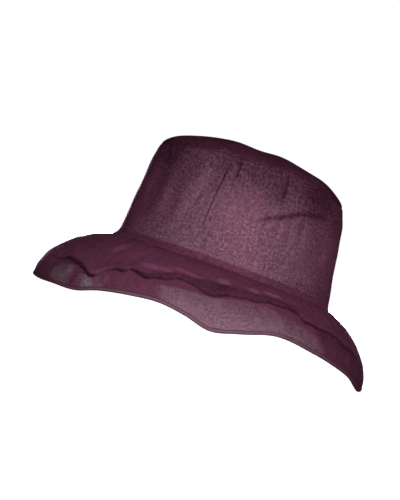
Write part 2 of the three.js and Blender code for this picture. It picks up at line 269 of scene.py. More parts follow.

# Stretches outward of the tuck where the brim's cloths lie doubled or single: how many degrees
# their ends lean over the cloth's depth, how softly each end fades, how thick, and how much painted
# shade darkens them
LAID_OUTWARD = [
    {"from": 204, "to": 219, "lean": 0, "fade_in": 3, "fade_out": 2,
     "thicker": -0.25, "darker": 0.09},
    {"from": 223.2, "to": 230, "lean": 6, "fade_in": 1.5, "fade_out": 2,
     "thicker": -0.25, "darker": 0.06},
    {"from": 230, "to": 255, "lean": 16, "fade_in": 3, "fade_out": 11,
     "thicker": 1.4, "darker": 0.08},
    {"from": 309, "to": 359, "lean": 15, "fade_in": 3, "fade_out": 22,
     "thicker": 1.3, "darker": 0.26},
]
LEAN_SHARE = 0.75
LAID_START = 1.5

# Height of the brim's lower edge above the ground, and the length of cloth curled up there
BRIM_EDGE = [
    {"angle": 0, "height": 0, "curl": 0},
    {"angle": 8, "height": 0, "curl": 0},
    {"angle": 14, "height": 12, "curl": 0},
    {"angle": 26, "height": 22.5, "curl": 0.5},
    {"angle": 40, "height": 27.5, "curl": 2},
    {"angle": 53, "height": 31.5, "curl": 4.5},
    {"angle": 66, "height": 37, "curl": 8},
    {"angle": 79, "height": 33.5, "curl": 12},
    {"angle": 87, "height": 28, "curl": 14.5},
    {"angle": 98, "height": 26.5, "curl": 14},
    {"angle": 107, "height": 23, "curl": 11},
    {"angle": 114, "height": 20.5, "curl": 8.5},
    {"angle": 121, "height": 24.5, "curl": 6},
    {"angle": 128, "height": 19.5, "curl": 3.5},
    {"angle": 136, "height": 9, "curl": 1.2},
    {"angle": 148, "height": 15, "curl": 0},
    {"angle": 158, "height": 9.5, "curl": 0},
    {"angle": 170, "height": 0, "curl": 0},
    {"angle": 180, "height": 0, "curl": 0},
    {"angle": 195, "height": 0, "curl": 0},
    {"angle": 212, "height": 2.2, "curl": 0},
    {"angle": 224, "height": 4.2, "curl": 0},
    {"angle": 234, "height": 11.5, "curl": 0},
    {"angle": 245, "height": 17, "curl": 0},
    {"angle": 255, "height": 20, "curl": 0},
    {"angle": 264, "height": 17.5, "curl": 0},
    {"angle": 273, "height": 12.5, "curl": 0},
    {"angle": 282, "height": 18, "curl": 0},
    {"angle": 294, "height": 26, "curl": 0},
    {"angle": 309, "height": 22, "curl": 0},
    {"angle": 320, "height": 17, "curl": 0},
    {"angle": 331, "height": 11, "curl": 0},
    {"angle": 341, "height": 3, "curl": 0},
    {"angle": 348, "height": 0, "curl": 0},
]

# How much of the brim's fall is a straight slope, the rest being a quarter of an oval
BRIM_FALL = [
    {"angle": 0, "straight": 0.36},
    {"angle": 45, "straight": 0.3},
    {"angle": 90, "straight": 0.15},
    {"angle": 180, "straight": 0.3},
    {"angle": 270, "straight": 0.15},
    {"angle": 315, "straight": 0.3},
]


def round_table(rows, column):
    """A smooth closed curve through one column of a table, as a function of the angle."""
    angles = np.array([row["angle"] for row in rows], float)
    values = np.array([row[column] for row in rows], float)
    span = (np.roll(angles, -1) - angles) % 360
    rise = np.roll(values, -1) - values
    slope = (np.roll(values, -1) - np.roll(values, 1)) / (span + np.roll(span, 1))

    def value(angle):
        turn = (np.asarray(angle, float) - angles[0]) % 360 + angles[0]
        here = np.searchsorted(angles, turn, side="right") - 1
        after = (here + 1) % len(angles)
        t = (turn - angles[here]) / span[here]
        start_slope = np.where(rise[here] == 0, 0, slope[here])
        end_slope = np.where(rise[here] == 0, 0, slope[after])
        smooth = t * t * (3 - 2 * t)
        lean = span[here] * t * (1 - t) * ((1 - t) * start_slope - t * end_slope)
        return np.maximum(0, values[here] + rise[here] * smooth + lean)

    return value


head_seam_height = round_table(HEAD_SEAM, "height")
head_seam_flare = round_table(HEAD_SEAM, "flare")
tip_seam_height = round_table(TIP_SEAM, "height")
brim_edge_height = round_table(BRIM_EDGE, "height")
brim_curl = round_table(BRIM_EDGE, "curl")
brim_straight = round_table(BRIM_FALL, "straight")
tuck_share = round_table(BRIM_TUCK, "share")
tuck_face = round_table(BRIM_TUCK, "face")
tuck_mark = round_table(BRIM_TUCK, "mark")


def turned(angle, middle):
    """Degrees from a middle angle, from -180 to 180."""
    return (angle - middle + 180) % 360 - 180


def bump(distance, half_width):
    """1 in the middle of a fold and 0 from its edges outward."""
    x = np.minimum(1, np.abs(distance) / half_width)
    return (1 - x * x) ** 2


def ease(x):
    """From 0 to 1, smoothly, as x goes from 0 to 1."""
    x = np.clip(x, 0, 1)
    return x * x * (3 - 2 * x)


def length_of(vectors):
    return np.sqrt((vectors * vectors).sum(axis=-1, keepdims=True))


def ripples(points, wavelength, seed, waves=9):
    """Slight unevenness of cloth, from about -1 to 1, the same for a seed on every run."""
    draw = np.random.RandomState(seed)
    total = np.zeros(points.shape[:-1])
    for _ in range(waves):
        way = draw.normal(size=3)
        way /= np.linalg.norm(way)
        pitch = wavelength * draw.uniform(0.7, 1.5)
        phase = draw.uniform(0, 2 * math.pi)
        total += np.cos(points @ way * (2 * math.pi / pitch) + phase)
    return total / math.sqrt(waves)


def oval_point(angle, half_length, half_width, centre_x, height):
    a = np.radians(angle)
    x = centre_x + half_length * np.cos(a)
    y = half_width * np.sin(a)
    return np.stack(np.broadcast_arrays(x, y, height), axis=-1).astype(float)


def level_way_out(points):
    """Level direction out of the hat at each point of rings that run round it."""
    along = np.roll(points, -1, axis=-2) - np.roll(points, 1, axis=-2)
    out = np.stack([along[..., 1], -along[..., 0], np.zeros(along.shape[:-1])], axis=-1)
    return out / length_of(out)


def square_way_up(points):
    """Direction square to rings that run from the hat's middle outward, pointing up."""
    along = np.roll(points, -1, axis=-2) - np.roll(points, 1, axis=-2)
    across = np.gradient(points, axis=0)
    up = np.cross(across, along)
    return up / np.maximum(length_of(up), 1e-9)


def crown_outline(angle, height):
    """Outer face of the crown at a height above the seam's lowest point, before any fold."""
    past = np.maximum(0, height - SHOULDER_START) ** 2
    flare = head_seam_flare(angle) * np.maximum(0, 1 - height / FLARE_HEIGHT) ** 2
    half_length = HEAD_LENGTH / 2 - CROWN_LEAN_LENGTH * height - SHOULDER_ROLL * past + flare
    half_width = HEAD_WIDTH / 2 - CROWN_LEAN_WIDTH * height - SHOULDER_ROLL * past + flare
    centre_x = -CROWN_SHIFT - CROWN_LEAN_FORWARD * height - SHOULDER_SHIFT * past
    return oval_point(angle, half_length, half_width, centre_x, height + SEAM_ABOVE_GROUND)


def fold_depth(angle, share):
    """How far the soft folds press the crown's side inward."""
    depth = 0
    for fold in CROWN_FOLDS:
        across = bump(turned(angle, fold["angle"]), fold["half_width"])
        middle = (fold["low"] + fold["high"]) / 2
        reach = (fold["high"] - fold["low"]) / 2
        depth = depth + fold["depth"] * across * bump(share - middle, reach)
    return depth


def crease_marks(angle, height):
    """How far the sharp creases press the crown's side inward, and how folded it is there: thicker,
    with painted shade.
    """
    inward = np.zeros(np.broadcast(angle, height).shape)
    folded = np.zeros_like(inward)
    mm_per_degree = math.radians(1) * HEAD_RADIUS
    for crease in CREASES:
        path = np.array(crease["path"], float)
        middle = path[:, 0].mean()
        place = np.stack(np.broadcast_arrays(turned(angle, middle) * mm_per_degree, height), -1)
        knots = np.stack([(path[:, 0] - middle) * mm_per_degree, path[:, 1]], -1)
        steps = np.diff(knots, axis=0)
        lengths = np.hypot(steps[:, 0], steps[:, 1])
        run = np.concatenate([[0], np.cumsum(lengths)])
        nearest = np.full(inward.shape, np.inf)
        side = np.zeros_like(inward)
        along = np.zeros_like(inward)
        for i, step in enumerate(steps):
            away = place - knots[i]
            t = np.clip((away @ step) / lengths[i] ** 2, 0, 1)
            gap = np.hypot(away[..., 0] - t * step[0], away[..., 1] - t * step[1])
            closer = gap < nearest
            nearest = np.where(closer, gap, nearest)
            turn = step[0] * away[..., 1] - step[1] * away[..., 0]
            side = np.where(closer, np.sign(turn), side)
            along = np.where(closer, (run[i] + t * lengths[i]) / run[-1], along)
        taper = np.clip(4 * along * (1 - along), 0, 1) ** CREASE_TAPER
        width = crease["width"] * (1 + (crease["widen"] - 1) * along)
        groove = np.exp(-(nearest / width) ** 2)
        lip = np.exp(-((side * nearest - LIP_PLACE * width) / (LIP_WIDTH * width)) ** 2)
        inward += crease["depth"] * taper * (groove - LIP_SHARE * lip)
        folded = np.maximum(folded, crease["dark"] * taper * groove ** CREASE_DARK_EDGE)
    for flute in FLUTES:
        across = turned(angle, flute["angle"]) * mm_per_degree / FLUTE_HALF_WIDTH
        down = (height - flute["height"]) / FLUTE_HALF_LENGTH
        inward += FLUTE_DEPTH * np.exp(-across ** 2 - down ** 2)
    return inward, folded


def side_surface(angle, share):
    """Outer face of the crown's side, with its soft folds. Its foot laps onto the brim."""
    low = head_seam_height(angle) - FOOT_LAP
    high = tip_seam_height(angle) - CAD_GAP / 2
    height = low + (high - low) * share
    points = crown_outline(angle, height)
    return points - level_way_out(points) * fold_depth(angle, share)[..., None], height


def tip_surface(angle, share):
    """The tip's dome. Share 0 is the middle of the tip and share 1 its seam."""
    seam = tip_seam_height(angle) + CAD_GAP / 2
    edge = crown_outline(angle, seam)
    edge = edge - level_way_out(edge) * fold_depth(angle, np.ones_like(seam))[..., None]
    start = math.radians(TIP_START_ANGLE)
    lift = math.pi / 2 + (start - math.pi / 2) * share
    reach = np.cos(lift) / math.cos(start)
    rise = (np.sin(lift) - math.sin(start)) / (1 - math.sin(start))
    middle = np.array([-CROWN_SHIFT - CROWN_LEAN_FORWARD * CROWN_HEIGHT, 0, 0])
    points = middle + (edge - middle) * reach[..., None]
    points[..., 2] = edge[..., 2] + (CROWN_HEIGHT + SEAM_ABOVE_GROUND - edge[..., 2]) * rise
    return points


def brim_surface(angle, share):
    """Middle of the double cloth of the brim. Share 0 is the head seam and share 1 the edge."""
    start = crown_outline(angle, head_seam_height(angle))
    start = start + level_way_out(start) * BRIM_LEDGE
    start[..., 2] -= CAD_CLOTH + CAD_GAP
    curl = brim_curl(angle)
    turn = np.minimum(curl / CURL_RADIUS, math.radians(CURL_MOST))
    pulled_in = CURL_RADIUS * (1 - np.cos(turn))
    half_length = BRIM_HALF_LENGTH - pulled_in
    end = oval_point(angle, half_length, BRIM_HALF_WIDTH - pulled_in, -BRIM_SHIFT, 0)
    end[..., 2] = brim_edge_height(angle) + CURL_RADIUS * np.sin(np.minimum(turn, math.pi / 2))
    end[..., 2] += (HEM_HEIGHT + HEM_GAP - HEM_PRESSED) * np.maximum(0, np.cos(turn))
    outward = (end - start) * (1, 1, 0)
    outward = outward / length_of(outward)
    plain_share = 1 - curl / BRIM_CLOTH_LENGTH
    fall = np.minimum(1, share / plain_share) * math.pi / 2
    reach = np.sin(fall)
    straight = brim_straight(angle)
    drop = (1 - np.cos(fall)) * (1 - straight) + reach * straight
    points = start + (end - start) * np.stack([reach, reach, drop], axis=-1)
    past = np.maximum(0, share - plain_share) * BRIM_CLOTH_LENGTH
    bend = np.minimum(past / CURL_RADIUS, math.radians(CURL_MOST))
    beyond = past - bend * CURL_RADIUS
    points = points + outward * (CURL_RADIUS * (1 - np.cos(bend)) + beyond * np.sin(bend))[..., None]
    points[..., 2] -= CURL_RADIUS * np.sin(bend) + beyond * np.cos(bend)
    return points


STATION_STEP = 0.05


def stations(count, finer=()):
    """Angles round the hat, closer together near each (angle, half width, times finer)."""
    steps = np.arange(0, 360, STATION_STEP)
    weight = np.ones_like(steps)
    for middle, half_width, times in finer:
        weight += (times - 1) * np.exp(-((turned(steps, middle)) / half_width) ** 2)
    total = np.concatenate([[0], np.cumsum(weight)])
    return np.interp(np.arange(count) * total[-1] / count, total, np.append(steps, 360))


def shift_to_frame():
    """The hat's own tables stand off the row's origin. The hem in the frame says how far."""
    edge = brim_surface(stations(360)[None, :], np.ones((1, 360)))[0]
    low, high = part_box("brim_hem")
    own = (edge.min(axis=0) + edge.max(axis=0)) / 2
    return np.array([(low.x + high.x) / 2 / MM - own[0], (low.y + high.y) / 2 / MM - own[1], 0])


SHIFT = shift_to_frame()
SHARP_EDGE = 70


def piece_from(name, points, faces, finish, uv=None, marks=None):
    """A mesh piece from points in millimetres. uv has one pair for each corner of each face.

    marks has two numbers for each point: how much thicker than plain cloth it is there, and
    how much darker.
    """
    mesh = bpy.data.meshes.new(name)
    placed = (np.asarray(points, float).reshape(-1, 3) + SHIFT) * MM
    mesh.from_pydata(placed.tolist(), [], [list(face) for face in faces])
    if uv is not None:
        layer = mesh.uv_layers.new(name="weave")
        layer.data.foreach_set("uv", np.asarray(uv, np.float32).ravel())
    if marks is not None:
        # The darker mark carries painted shade, painted highlights where it is below 0, and dark seams
        for layer_name, values in zip(("thicker", "darker"), marks):
            attribute = mesh.attributes.new(layer_name, "FLOAT", "POINT")
            attribute.data.foreach_set("value", np.asarray(values, np.float32).ravel())
    mesh.shade_smooth()
    mesh.set_sharp_from_angle(angle=math.radians(SHARP_EDGE))
    mesh.materials.append(finish)
    piece = bpy.data.objects.new(name, mesh)
    bpy.context.scene.collection.objects.link(piece)
    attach(piece, "root")
    return piece


def closed_cloth(name, outer, inner, weave, finish, marks=None):
    """A closed band of cloth round the hat: two faces of rings, joined along both edges.

    outer and inner are rings of points. weave has the place in the cloth of each point of one
    face, with one more column than the rings, so that the last column closes the round.
    """
    rows, columns = outer.shape[:2]
    points = np.concatenate([outer.reshape(-1, 3), inner.reshape(-1, 3)])
    faces = []
    corners = []
    back = rows * columns
    for row in range(rows - 1):
        for column in range(columns):
            after = (column + 1) % columns
            quad = [(row, column), (row, column + 1), (row + 1, column + 1), (row + 1, column)]
            here = [row * columns + column, row * columns + after]
            there = [(row + 1) * columns + after, (row + 1) * columns + column]
            faces.append(here + there)
            corners += [weave[place] for place in quad]
            faces.append([back + i for i in reversed(here + there)])
            corners += [weave[place] for place in reversed(quad)]
    for row, forward in ((0, False), (rows - 1, True)):
        for column in range(columns):
            after = (column + 1) % columns
            here = row * columns + column
            there = row * columns + after
            quad = [here, there, back + there, back + here]
            places = [(row, column), (row, column + 1), (row, column + 1), (row, column)]
            if not forward:
                quad.reverse()
                places.reverse()
            faces.append(quad)
            corners += [weave[place] for place in places]
    both = None if marks is None else [np.tile(np.ravel(mark), 2) for mark in marks]
    return piece_from(name, points, faces, finish, corners, both)


# The hem's section, how far apart its threads run round it, how thick it is, and its painted shade
HEM_SIDES = 12
HEM_WEAVE_STEP = 0.8
HEM_MARKS = (0.1, 0.14)


def ring_rod(name, centres, across, down, half_width, half_height, finish):
    """A closed ring of oval section round the hat, pressed flat where it rests on the ground."""
    sides = HEM_SIDES
    turns = np.arange(sides) * 2 * math.pi / sides
    section = (
        centres[:, None]
        + across[:, None] * (half_width * np.cos(turns))[None, :, None]
        + down[:, None] * (half_height * np.sin(turns))[None, :, None]
    )
    section[..., 2] = np.maximum(section[..., 2], 0)
    count = len(centres)
    faces = []
    corners = []
    run = np.concatenate([[0], np.cumsum(length_of(np.roll(centres, -1, 0) - centres)[:, 0])])
    for i in range(count):
        after = (i + 1) % count
        for j in range(sides):
            k = (j + 1) % sides
            faces.append([i * sides + j, i * sides + k, after * sides + k, after * sides + j])
            low, high = j * HEM_WEAVE_STEP, (j + 1) * HEM_WEAVE_STEP
            corners += [(run[i], low), (run[i], high), (run[i + 1], high), (run[i + 1], low)]
    # The hem's darker mark is painted shade
    marks = [np.full(count * sides, value) for value in HEM_MARKS]
    return piece_from(name, section, faces, finish, corners, marks)


# Stitches of the hem: their length, the gap between two, the thread's half thickness, how
# deep they sink and how thin they get at their ends by that, and how finely each is made
STITCH_LENGTH = 2.2
STITCH_GAP = 1.0
STITCH_HALF_THICK = 0.17
STITCH_SUNK = 0.35
STITCH_END = 0.45
STITCH_SIDES = 6
STITCH_BENDS = 5


def stitch_row(name, line, out, finish):
    """Stitches along a closed line of points: each is a short thread, sunk at both ends."""
    closed = np.concatenate([line, line[:1]])
    outs = np.concatenate([out, out[:1]])
    run = np.concatenate([[0], np.cumsum(length_of(np.diff(closed, axis=0))[:, 0])])
    count = int(run[-1] / (STITCH_LENGTH + STITCH_GAP))
    pitch = run[-1] / count
    sides = STITCH_SIDES
    thick = STITCH_HALF_THICK
    bends = np.linspace(0, 1, STITCH_BENDS)
    points = []
    faces = []
    for i in range(count):
        places = i * pitch + bends * STITCH_LENGTH
        middle = np.stack([np.interp(places, run, closed[:, k]) for k in range(3)], -1)
        up = np.stack([np.interp(places, run, outs[:, k]) for k in range(3)], -1)
        up /= length_of(up)
        along = np.gradient(middle, axis=0)
        along /= length_of(along)
        side = np.cross(along, up)
        arch = np.sin(bends * math.pi)
        middle = middle + up * (thick * (arch - STITCH_SUNK))[:, None]
        radius = thick * (STITCH_END + (1 - STITCH_END) * arch)
        first = len(points)
        for step in range(len(bends)):
            for j in range(sides):
                turn = j * 2 * math.pi / sides
                way = up[step] * math.cos(turn) + side[step] * math.sin(turn)
                points.append(middle[step] + way * radius[step])
        for step in range(len(bends) - 1):
            for j in range(sides):
                k = (j + 1) % sides
                a = first + step * sides
                faces.append([a + j, a + sides + j, a + sides + k, a + k])
        last = first + (len(bends) - 1) * sides
        faces.append([first + j for j in range(sides)])
        faces.append([last + j for j in reversed(range(sides))])
    return piece_from(name, np.array(points), faces, finish)


class Number:
    """A number that varies over a surface. A sum with it adds its Math nodes."""

    def __init__(self, finish, socket):
        self.finish = finish
        self.socket = socket

    def __add__(self, other):
        return self.finish.sum("ADD", self, other)

    __radd__ = __add__

    def __mul__(self, other):
        return self.finish.sum("MULTIPLY", self, other)

    __rmul__ = __mul__

    def __sub__(self, other):
        return self.finish.sum("SUBTRACT", self, other)

    def __rsub__(self, other):
        return self.finish.sum("SUBTRACT", other, self)

    def __truediv__(self, other):
        return self.finish.sum("DIVIDE", self, other)

    def __rtruediv__(self, other):
        return self.finish.sum("DIVIDE", other, self)

    def __pow__(self, other):
        return self.finish.sum("POWER", self, other)

    def __rpow__(self, other):
        return self.finish.sum("POWER", other, self)

    def cosine(self):
        return self.finish.sum("COSINE", self)

    def at_least(self, other):
        return self.finish.sum("MAXIMUM", self, other)

    def at_most(self, other):
        return self.finish.sum("MINIMUM", self, other)


class Nodes:
    """The nodes of a material or of the surround."""

    def __init__(self, owner):
        owner.use_nodes = True
        self.tree = owner.node_tree
        self.tree.nodes.clear()

    def node(self, kind, settings=None, sockets=None):
        """Adds a node: first its settings, then the values or links of its sockets."""
        node = self.tree.nodes.new(kind)
        for name, value in (settings or {}).items():
            setattr(node, name, value)
        for name, value in (sockets or {}).items():
            socket = node.inputs[name]
            if isinstance(value, Number):
                self.tree.links.new(value.socket, socket)
            elif isinstance(value, bpy.types.NodeSocket):
                self.tree.links.new(value, socket)
            else:
                socket.default_value = value
        return node


class Finish(Nodes):
    """One material, and the nodes that make it."""

    def __init__(self, name):
        self.material = bpy.data.materials.new(name)
        super().__init__(self.material)

    def sum(self, operation, *values):
        sockets = dict(enumerate(values))
        node = self.node("ShaderNodeMath", {"operation": operation}, sockets)
        return Number(self, node.outputs[0])

    def vector(self, operation, a, b=None, scale=None):
        sockets = {0: a}
        if b is not None:
            sockets[1] = b
        if scale is not None:
            sockets["Scale"] = scale
        return self.node("ShaderNodeVectorMath", {"operation": operation}, sockets).outputs[0]

    def number(self, socket):
        return Number(self, socket)

    def noise(self, place, scale, detail=2.0, roughness=0.5):
        sockets = {"Vector": place, "Scale": scale, "Detail": detail, "Roughness": roughness}
        node = self.node("ShaderNodeTexNoise", {"noise_dimensions": "3D"}, sockets)
        return Number(self, node.outputs["Fac"])

    def mark(self, name):
        """A number that the mesh carries at each of its points."""
        return Number(self, self.node("ShaderNodeAttribute", {"attribute_name": name}).outputs[2])

    def mix(self, amount, a, b):
        settings = {"data_type": "RGBA", "clamp_factor": True}
        return self.node("ShaderNodeMix", settings, {0: amount, 6: a, 7: b}).outputs[2]

    def raised(self, height, strength, depth):
        """The cloth's normal, with relief up to a depth in millimetres."""
        sockets = {"Strength": strength, "Distance": depth * MM, "Height": height}
        return self.node("ShaderNodeBump", None, sockets).outputs["Normal"]

    def surface(self, sockets):
        shader = self.node("ShaderNodeBsdfPrincipled", None, sockets)
        self.node("ShaderNodeOutputMaterial", None, {"Surface": shader.outputs[0]})
        return self.material


# Organza. What passes straight through one face of a cloth, seen head on, out of 1.
CROWN_PASSES = 0.45
BRIM_PASSES = 0.478
SEAM_PASSES = 0.32
HEM_PASSES = 0.25
LEAST_OPEN = 0.02
MOST_OPEN = 0.95
LEAST_LAYERS = 0.15
LEAST_COSINE = 0.07
SLANT = 0.85

# Its threads, and the mottling where they beat, which drifts over the cloth. Pitches are in
# millimetres, scales are in noise cells for each, and shares are of the light or of the colour.
BEAT = 4.8
BEAT_DRIFT = 22
THREAD_PITCH = 0.76
THREAD_DRIFT = 4
DRIFT_SCALES = (0.10, 0.11)
DRIFT_APART = (37.0, 11.0, 53.0)
THREAD_OPEN = 0.08
THREAD_TONE = 0.04
CLOUD_SCALE = 0.035
CLOUD_OPEN = 0.15
CLOUD_TONE = 0.3
MOTTLING_TONE = 0.9
MIDDLE_TONE = 0.5

# Its relief and gloss
THREAD_RELIEF = 0.2
MOTTLING_RELIEF = 0.3
FUZZ_SCALE = 0.3
RELIEF_STRENGTH = 0.3
RELIEF_DEPTH = 0.25
ORGANZA_METALLIC = 0.3
ORGANZA_ROUGHNESS = 0.62
ORGANZA_EDGE_TINT = (0.6, 0.3, 0.42, 1)
PLUM_PALE = (0.29, 0.084, 0.162, 1)
PLUM_DEEP = (0.048, 0.0135, 0.026, 1)


def organza(name, passes, mottling, start=(0, 0, 0)):
    """Sheer woven cloth: it passes less light at a slant, and its threads beat into mottling."""
    f = Finish(name)
    place = f.node("ShaderNodeTexCoord").outputs["Object"]
    mm = f.vector("ADD", f.vector("SCALE", place, scale=1 / MM), start)
    weave = f.node("ShaderNodeUVMap", {"uv_map": "weave"}).outputs["UV"]
    split = f.node("ShaderNodeSeparateXYZ", None, {0: weave})
    along = f.number(split.outputs[0])
    across = f.number(split.outputs[1])
    drift_a = f.noise(mm, DRIFT_SCALES[0], 1.0) - 0.5
    drift_b = f.noise(f.vector("ADD", mm, DRIFT_APART), DRIFT_SCALES[1], 1.0) - 0.5
    turn = 2 * math.pi
    beat_a = (along * (turn / BEAT) + drift_a * BEAT_DRIFT).cosine()
    beat_b = (across * (turn / BEAT) + drift_b * BEAT_DRIFT).cosine()
    mottle = (beat_a + beat_b) * 0.5
    thread_a = (along * (turn / THREAD_PITCH) + drift_a * THREAD_DRIFT).cosine()
    thread_b = (across * (turn / THREAD_PITCH) + drift_b * THREAD_DRIFT).cosine()
    thread = (thread_a + thread_b) * 0.5
    cloud = f.noise(mm, CLOUD_SCALE, 3.0) - 0.5
    thicker = f.mark("thicker")
    darker = f.mark("darker")
    facing = f.number(f.node("ShaderNodeLayerWeight", None, {"Blend": 0.5}).outputs["Facing"])
    cosine = (1 - facing).at_least(LEAST_COSINE)
    open_share = (mottle * mottling + thread * THREAD_OPEN + cloud * CLOUD_OPEN + 1) * passes
    layers = (thicker + 1).at_least(LEAST_LAYERS) / cosine ** SLANT
    alpha = 1 - open_share.at_most(MOST_OPEN).at_least(LEAST_OPEN) ** layers
    tone = mottle * (MOTTLING_TONE * mottling) + cloud * CLOUD_TONE + thread * THREAD_TONE
    # The darker mark takes the tone down: painted shade, dark seams, and painted highlights where it
    # is below 0
    tone = tone + MIDDLE_TONE - darker
    colour = f.mix(tone.at_least(0).at_most(1), PLUM_DEEP, PLUM_PALE)
    relief = thread * THREAD_RELIEF + f.noise(mm, FUZZ_SCALE, 3.0) + mottle * MOTTLING_RELIEF
    return f.surface({
        "Base Color": colour,
        "Metallic": ORGANZA_METALLIC,
        "Roughness": ORGANZA_ROUGHNESS,
        "Specular IOR Level": 0.0,
        "Specular Tint": ORGANZA_EDGE_TINT,
        "Alpha": alpha,
        "Normal": f.raised(relief, RELIEF_STRENGTH, RELIEF_DEPTH),
    })


# Twisted sewing thread: the scale of its twist, and how much painted shade darkens its hollows
THREAD_PLUM = (0.12, 0.032, 0.07)
TWIST_SCALE = 2.2
TWIST_DARK = 0.55
TWIST_STRENGTH = 0.4
TWIST_DEPTH = 0.1


def thread_finish(name, colour):
    f = Finish(name)
    place = f.node("ShaderNodeTexCoord").outputs["Object"]
    twist = f.noise(f.vector("SCALE", place, scale=1 / MM), TWIST_SCALE, 2.0)
    dark = [TWIST_DARK * c for c in colour]
    return f.surface({
        "Base Color": f.mix(twist, (*dark, 1), (*colour, 1)),
        "Roughness": 0.5,
        "Specular IOR Level": 0.2,
        "Normal": f.raised(twist, TWIST_STRENGTH, TWIST_DEPTH),
    })


crown_finish = organza("crown_organza", CROWN_PASSES, mottling=0.19)
tip_finish = organza("tip_organza", CROWN_PASSES, mottling=0.07)
upper_finish = organza("brim_upper_organza", BRIM_PASSES, mottling=0.12)
under_finish = organza("brim_under_organza", BRIM_PASSES, mottling=0.12, start=(71, 19, 43))
seam_finish = organza("seam_organza", SEAM_PASSES, mottling=0.08)
hem_finish = organza("hem_organza", HEM_PASSES, mottling=0.05)
thread_plum = thread_finish("plum_thread", THREAD_PLUM)

# How many points each cloth has round the hat, how many rings, and where it is finer
SIDE_COLUMNS = 560
SIDE_RINGS = 76
SIDE_FINER = [(254, 6, 3.2), (262, 4, 2.5), (291, 5, 2.2)]
TIP_COLUMNS = 300
TIP_RINGS = 45
TIP_CROWDING = 0.8
TIP_FINER = [(251, 10, 2.5)]
BRIM_COLUMNS = 470
BRIM_RINGS = 96
BRIM_FINER = [(262, 45, 2.2)]
TRIM_COLUMNS = 420
HEM_COLUMNS = 900

# Where the weave is cut: the side is one strip round the crown, whose length is whole threads
SIDE_STRIP = 570

# The seam round the tip: how its cloths roll in and lap, and how wide its dark line is
ROLL_IN = 1.6
ROLL_DEPTH = 0.4
SEAM_LAP = 0.8
SEAM_HALF_WIDTH = 1.1

# Puckers beside the seams, and the slight unevenness of each cloth: depth, reach, wavelength
PUCKER_WAVE = 9
PUCKER_SEED = 5
SIDE_PUCKER = 0.45
TIP_PUCKER = 0.4
PUCKER_REACH = 7
FOOT_PUCKER = 0.25
FOOT_PUCKER_REACH = 6
SIDE_UNEVEN = 0.35
SIDE_UNEVEN_WAVE = 26
TIP_UNEVEN = 0.5
TIP_UNEVEN_WAVE = 30
SEAM_CALM = 12
FOOT_CALM = 8

# Painted shade darkens the side upward from a height, over a run
SHADE_START = 42
SHADE_RUN = 60

# How much thicker and how much darker the crown's cloth looks in each kind of place. The
# darker share is painted shade everywhere but on the seams, which are dark joints
SIDE_THICKER = {"upward": 0.25, "folded": 0.8, "seam": 1.5, "foot": 0, "layered_shaded": 0.6}
SIDE_DARKER = {"upward": 0.32, "folded": 0.25, "seam": 0.2, "foot": 0.1, "layered_shaded": 0.2}
TIP_THICKER = {"all over": 0.3, "seam": 1.2}
TIP_DARKER = {"all over": 0.44, "seam": 0.06}


def puckering(points):
    return ripples(points * (1, 1, 0), PUCKER_WAVE, PUCKER_SEED)


def rolled_in(from_seam):
    """How far a cloth rolls inward at the tip seam."""
    turn_in = np.clip(1 - from_seam / ROLL_IN, 0, 1)
    return ROLL_DEPTH * (1 - np.sqrt(1 - turn_in ** 2))


def strip_weave(angle, drop):
    """Places in the weave of a strip that runs round the hat, with the round closed."""
    along = np.append(angle[0], 360) / 360 * SIDE_STRIP
    drop = np.concatenate([drop, drop[:, :1]], axis=1)
    return np.stack([along[None, :] + np.zeros_like(drop), drop], axis=-1)


def crown_side():
    angle = stations(SIDE_COLUMNS, SIDE_FINER)[None, :]
    share = np.linspace(0, 1, SIDE_RINGS)[:, None] + np.zeros_like(angle)
    points, height = side_surface(angle, share)
    way = level_way_out(points)
    inward, folded = crease_marks(angle, height)
    below_seam = tip_seam_height(angle) - height
    above_base = height - head_seam_height(angle)
    pucker = puckering(points)
    inward = inward + SIDE_PUCKER * pucker * np.exp(-below_seam / PUCKER_REACH)
    inward = inward + FOOT_PUCKER * pucker * np.exp(-above_base / FOOT_PUCKER_REACH)
    calm = ease(below_seam / SEAM_CALM) * ease(above_base / FOOT_CALM)
    inward = inward + SIDE_UNEVEN * ripples(points, SIDE_UNEVEN_WAVE, seed=11) * calm
    inward = inward + rolled_in(below_seam)
    flare = np.exp(-(np.maximum(0, above_base) / FOOT_FLARE_HEIGHT) ** 2)
    inward = inward - FOOT_FLARE * flare
    # Painted shade darkens the side upward, along its creases, at its foot and in its smooth dark
    # places
    upward = ease((height - SHADE_START) / SHADE_RUN)
    seam = np.exp(-(below_seam / SEAM_HALF_WIDTH) ** 2)
    rise = FOOT_SHADE_RISE * bump(turned(angle, FOOT_SHADE_ANGLE), FOOT_SHADE_HALF_WIDTH)
    foot = ease((FOOT_SHADE + rise - above_base) / FOOT_SHADE_SOFT)
    layered_shaded = sum(
        bump(turned(angle, place["angle"]), place["long"])
        * bump(height - place["height"], place["high"]) for place in LAYERED_AND_SHADED
    )
    kinds = {"upward": upward, "folded": folded, "seam": seam, "foot": foot, "layered_shaded": layered_shaded}
    thicker = sum(SIDE_THICKER[kind] * amount for kind, amount in kinds.items())
    darker = sum(SIDE_DARKER[kind] * amount for kind, amount in kinds.items())
    outer = points - way * inward[..., None]
    inner = outer - way * ORGANZA
    inner[-1, :, 2] -= ORGANZA
    turned_in = way[-1:] * SEAM_LAP
    outer = np.concatenate([outer, outer[-1:] - turned_in])
    inner = np.concatenate([inner, inner[-1:] - turned_in])
    marks = [np.concatenate([mark, mark[-1:]]) for mark in (thicker, darker)]
    weave = strip_weave(angle, np.concatenate([height, height[-1:] + SEAM_LAP]))
    piece = closed_cloth("crown_side_cloth", outer, inner, weave, crown_finish, marks)
    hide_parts("crown_side")
    return piece


